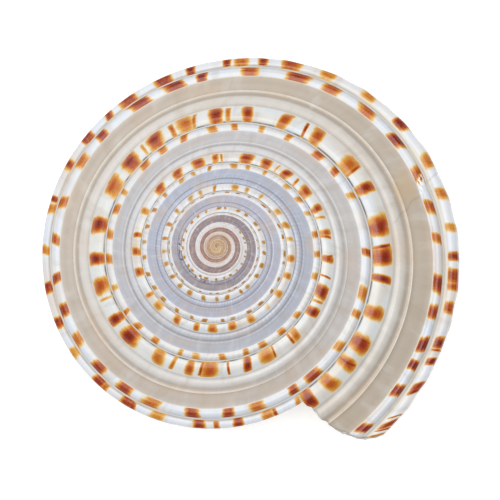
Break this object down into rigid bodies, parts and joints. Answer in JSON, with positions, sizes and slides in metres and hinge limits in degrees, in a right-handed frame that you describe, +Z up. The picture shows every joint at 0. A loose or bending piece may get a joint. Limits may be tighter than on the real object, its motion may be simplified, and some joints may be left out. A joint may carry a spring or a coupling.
{
  "type": "sundial shell",
  "caption": "Low coiled sea-snail shell with a keeled edge, spotted spiral cords, an open mouth and a wide beaded umbilicus; lies on its base as a natural display piece.",
  "frame": {"origin": "bottom centre of the bounding box, on the surface that the shell lies on", "axes": "+Z up from that surface towards the spire; -Y on the side of the mouth; the coil runs clockwise seen from above"},
  "size_m": [0.0502, 0.0468, 0.021],
  "materials": {
    "shell": "porcelain gloss, cream to beige with white and red-brown spotted cords"
  },
  "bodies": {
    "root": {"shell": "shell"}
  },
  "joints": []
}
